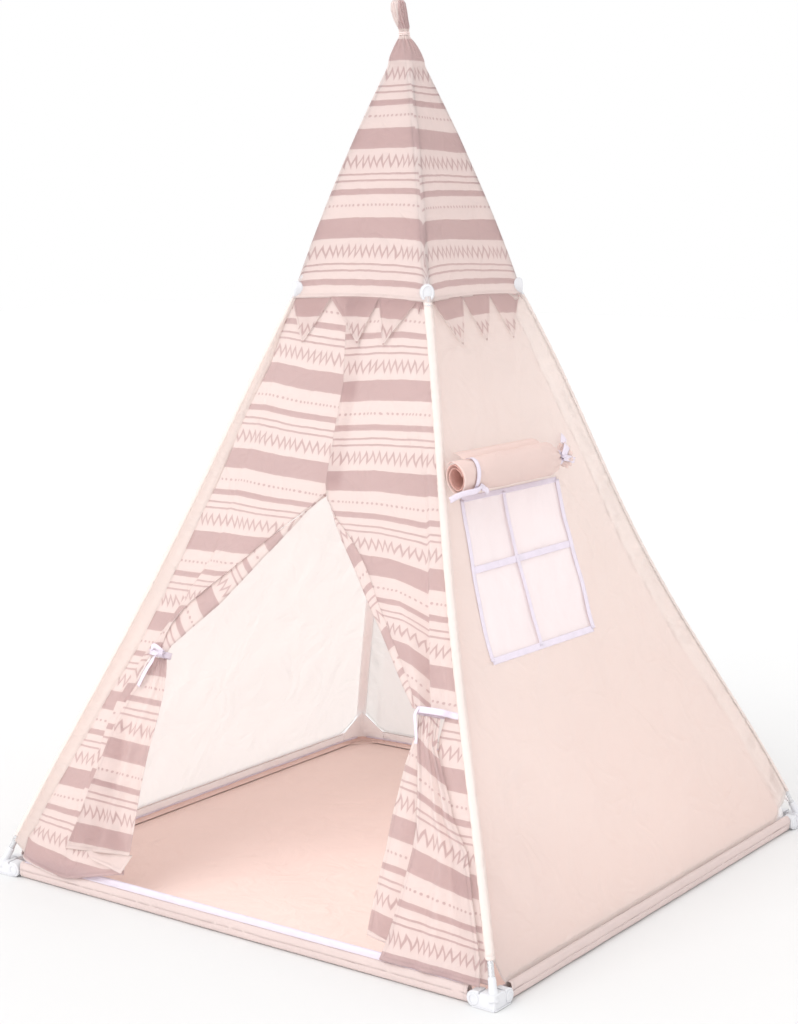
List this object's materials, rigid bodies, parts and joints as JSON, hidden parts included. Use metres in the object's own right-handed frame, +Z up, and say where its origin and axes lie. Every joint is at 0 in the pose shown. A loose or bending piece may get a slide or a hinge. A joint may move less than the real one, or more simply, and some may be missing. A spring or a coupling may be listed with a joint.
{
  "type": "play tent",
  "caption": "Child's play tent: steep four-sided cloth pyramid on a push-fit tube frame, with tied-back door curtains, a window with a rolled blind, pennants and a floor mat.",
  "frame": {"origin": "centre of the square footprint, on the ground", "axes": "+Z up; the door opening faces -Y and the window faces +X"},
  "size_m": [1.084, 1.084, 1.5465],
  "materials": {
    "white_plastic": "satin white moulded plastic",
    "white_metal": "glossy white coated steel tube",
    "striped_cloth": "thin matt cotton, pale pink with printed mauve stripes, dots and zigzags",
    "plain_cloth": "thin matt cotton, plain pale peach",
    "floor_cloth": "matt woven cloth, pale peach",
    "ribbon": "smooth lilac ribbon",
    "sheer_cloth": "sheer white voile",
    "tie_cord": "thin twisted cotton cord"
  },
  "bodies": {
    "tent": {"base_connector_front_left": "white_plastic", "base_connector_front_right": "white_plastic", "base_connector_rear_right": "white_plastic", "base_connector_rear_left": "white_plastic", "base_tube_front": "white_metal", "base_tube_right": "white_metal", "base_tube_rear": "white_metal", "base_tube_left": "white_metal", "lower_leg_tube_front_left": "white_metal", "lower_leg_tube_front_right": "white_metal", "lower_leg_tube_rear_right": "white_metal", "lower_leg_tube_rear_left": "white_metal", "mid_connector_front_left": "white_plastic", "mid_connector_front_right": "white_plastic", "mid_connector_rear_right": "white_plastic", "mid_connector_rear_left": "white_plastic", "upper_leg_tube_front_left": "white_metal", "upper_leg_tube_front_right": "white_metal", "upper_leg_tube_rear_right": "white_metal", "upper_leg_tube_rear_left": "white_metal", "peak_hub": "white_plastic", "leg_sleeve_front_left": "plain_cloth", "leg_sleeve_front_right": "plain_cloth", "leg_sleeve_rear_right": "plain_cloth", "leg_sleeve_rear_left": "plain_cloth", "cap_sleeve_front_left": "striped_cloth", "cap_sleeve_front_right": "striped_cloth", "cap_sleeve_rear_right": "striped_cloth", "cap_sleeve_rear_left": "striped_cloth", "base_sleeve_front": "plain_cloth", "base_sleeve_right": "plain_cloth", "base_sleeve_rear": "plain_cloth", "base_sleeve_left": "plain_cloth", "cap_panel_front": "striped_cloth", "cap_panel_right": "striped_cloth", "cap_panel_rear": "striped_cloth", "cap_panel_left": "striped_cloth", "crown": "striped_cloth", "peak_tie": "tie_cord", "wall_right": "plain_cloth", "wall_rear": "plain_cloth", "wall_left": "plain_cloth", "door_band": "plain_cloth", "window_pane": "sheer_cloth", "window_tape": "ribbon", "left_curtain": "striped_cloth", "left_curtain_tie": "ribbon", "right_curtain": "striped_cloth", "right_curtain_tie": "ribbon", "floor_mat": "floor_cloth", "floor_binding": "ribbon"},
    "left_tail": {"left_curtain_tail": "striped_cloth"},
    "right_tail": {"right_curtain_tail": "striped_cloth"},
    "blind": {"window_blind": "plain_cloth", "blind_tie_front": "ribbon", "blind_tie_rear": "ribbon"},
    "pennant_strip_front": {"pennants_front": "striped_cloth"},
    "pennant_strip_right": {"pennants_right": "striped_cloth"},
    "pennant_strip_rear": {"pennants_rear": "striped_cloth"},
    "pennant_strip_left": {"pennants_left": "striped_cloth"}
  },
  "joints": [
    {"name": "left_tail_swing", "type": "hinge", "parent": "tent", "child": "left_tail", "pos_m": [-0.259, -0.37651, 0.4017], "axis": [-1, 0, 0], "range_deg": [-20, 20]},
    {"name": "right_tail_swing", "type": "hinge", "parent": "tent", "child": "right_tail", "pos_m": [0.31, -0.36946, 0.3797], "axis": [-1, 0, 0], "range_deg": [-20, 20]},
    {"name": "blind_lift", "type": "hinge", "parent": "tent", "child": "blind", "pos_m": [0.22881, -0.07804, 0.78017], "axis": [-0.0181, -0.9998, 0.0007], "range_deg": [0, 90]},
    {"name": "front_pennants_lift", "type": "hinge", "parent": "tent", "child": "pennant_strip_front", "pos_m": [0, -0.14507, 1.03448], "axis": [-1, 0, 0], "range_deg": [0, 75]},
    {"name": "right_pennants_lift", "type": "hinge", "parent": "tent", "child": "pennant_strip_right", "pos_m": [0.14507, 0, 1.03448], "axis": [0, -1, 0], "range_deg": [0, 75]},
    {"name": "rear_pennants_lift", "type": "hinge", "parent": "tent", "child": "pennant_strip_rear", "pos_m": [0, 0.14507, 1.03448], "axis": [1, 0, 0], "range_deg": [0, 75]},
    {"name": "left_pennants_lift", "type": "hinge", "parent": "tent", "child": "pennant_strip_left", "pos_m": [-0.14507, 0, 1.03448], "axis": [0, 1, 0], "range_deg": [0, 75]}
  ]
}
